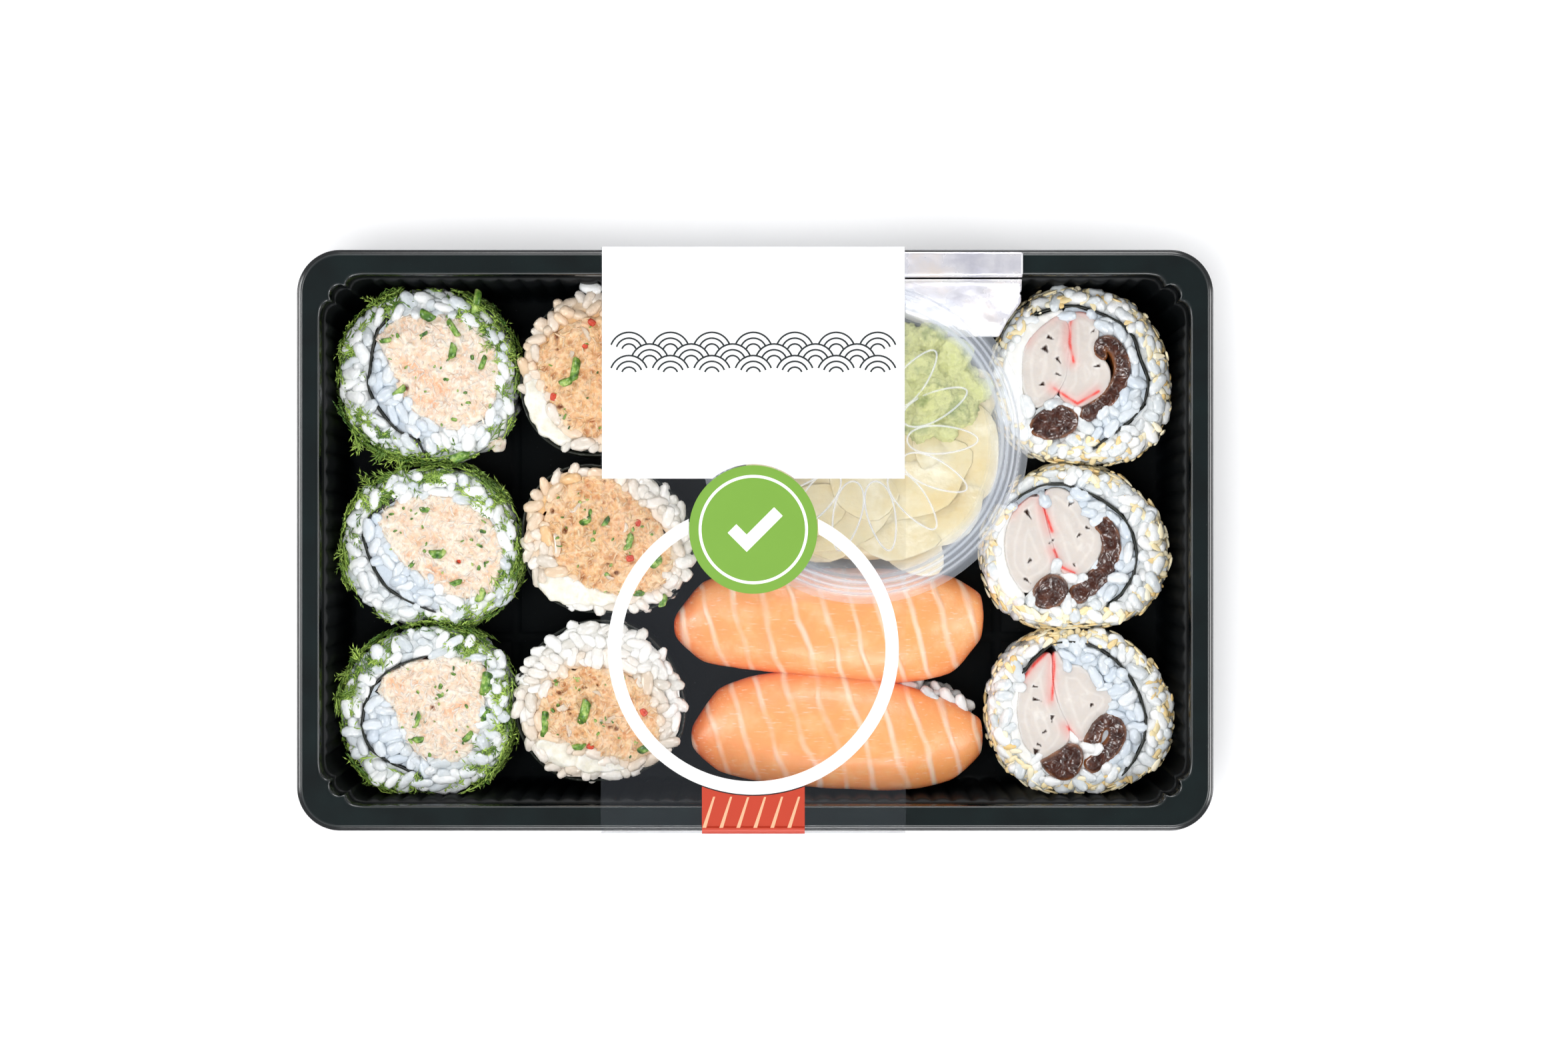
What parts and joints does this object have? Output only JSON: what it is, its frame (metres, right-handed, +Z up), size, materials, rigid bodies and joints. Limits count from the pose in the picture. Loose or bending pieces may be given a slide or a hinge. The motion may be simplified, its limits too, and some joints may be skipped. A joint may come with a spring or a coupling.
{
  "type": "takeaway sushi tray",
  "caption": "Open black takeaway tray of cut sushi rolls and salmon nigiri with a clear lidded dip pot and sauce sachet, held by a printed clear film band.",
  "frame": {"origin": "on the table under the middle of the tray", "axes": "+X along the tray's long side, towards the end with the sesame rolls; +Y towards the side with the pot; +Z up"},
  "size_m": [0.222, 0.142, 0.0364],
  "materials": {
    "tray": "smooth black moulded plastic, faint bloom on the rim",
    "film": "clear stretched film",
    "white_print": "opaque white ink on film",
    "green_print": "opaque leaf green ink on film",
    "red_print": "opaque orange red ink on film",
    "clear_pot": "clear moulded plastic",
    "wasabi": "crumbly pale green paste",
    "ginger": "wet thin pickled slices, pale yellow",
    "sachet": "silvery lilac film, crimped edges",
    "rice": "moist translucent cooked grains",
    "nori": "damp seaweed sheet, near black",
    "pale_fish": "soft flaked fish and mayonnaise, pale pink",
    "tuna_fish": "soft seasoned fish, orange tan",
    "cream": "soft white cream",
    "surimi": "fibrous white crab stick with a red skin",
    "kanpyo": "glossy braised gourd, translucent brown",
    "salmon": "moist raw fish with pale fat lines"
  },
  "bodies": {
    "root": {"tray": "tray", "band_film": "film", "label_panel": "white_print", "label_badge": "green_print", "label_ring": "white_print", "label_strip": "red_print", "pot_cup": "clear_pot", "pot_lid": "clear_pot", "wasabi": "wasabi", "ginger": "ginger", "sachet": "sachet", "dill_roll_1_rice": "rice", "dill_roll_1_nori": "nori", "dill_roll_1_filling": "pale_fish", "dill_roll_2_rice": "rice", "dill_roll_2_nori": "nori", "dill_roll_2_filling": "pale_fish", "dill_roll_3_rice": "rice", "dill_roll_3_nori": "nori", "dill_roll_3_filling": "pale_fish", "tuna_roll_1_nori_wrap": "nori", "tuna_roll_1_rice": "rice", "tuna_roll_1_filling": "tuna_fish", "tuna_roll_1_cream": "cream", "tuna_roll_2_nori_wrap": "nori", "tuna_roll_2_rice": "rice", "tuna_roll_2_filling": "tuna_fish", "tuna_roll_2_cream": "cream", "tuna_roll_3_nori_wrap": "nori", "tuna_roll_3_rice": "rice", "tuna_roll_3_filling": "tuna_fish", "tuna_roll_3_cream": "cream", "sesame_roll_1_rice": "rice", "sesame_roll_1_nori": "nori", "sesame_roll_1_surimi_left": "surimi", "sesame_roll_1_surimi_right": "surimi", "sesame_roll_1_kanpyo_strip": "kanpyo", "sesame_roll_1_kanpyo_fold": "kanpyo", "sesame_roll_1_cream_cheese": "cream", "sesame_roll_2_rice": "rice", "sesame_roll_2_nori": "nori", "sesame_roll_2_surimi_left": "surimi", "sesame_roll_2_surimi_right": "surimi", "sesame_roll_2_kanpyo_strip": "kanpyo", "sesame_roll_2_kanpyo_fold": "kanpyo", "sesame_roll_2_cream_cheese": "cream", "sesame_roll_3_rice": "rice", "sesame_roll_3_nori": "nori", "sesame_roll_3_surimi_left": "surimi", "sesame_roll_3_surimi_right": "surimi", "sesame_roll_3_kanpyo_strip": "kanpyo", "sesame_roll_3_kanpyo_fold": "kanpyo", "sesame_roll_3_cream_cheese": "cream", "nigiri_1_salmon": "salmon", "nigiri_1_rice": "rice", "nigiri_2_salmon": "salmon", "nigiri_2_rice": "rice"}
  },
  "joints": []
}
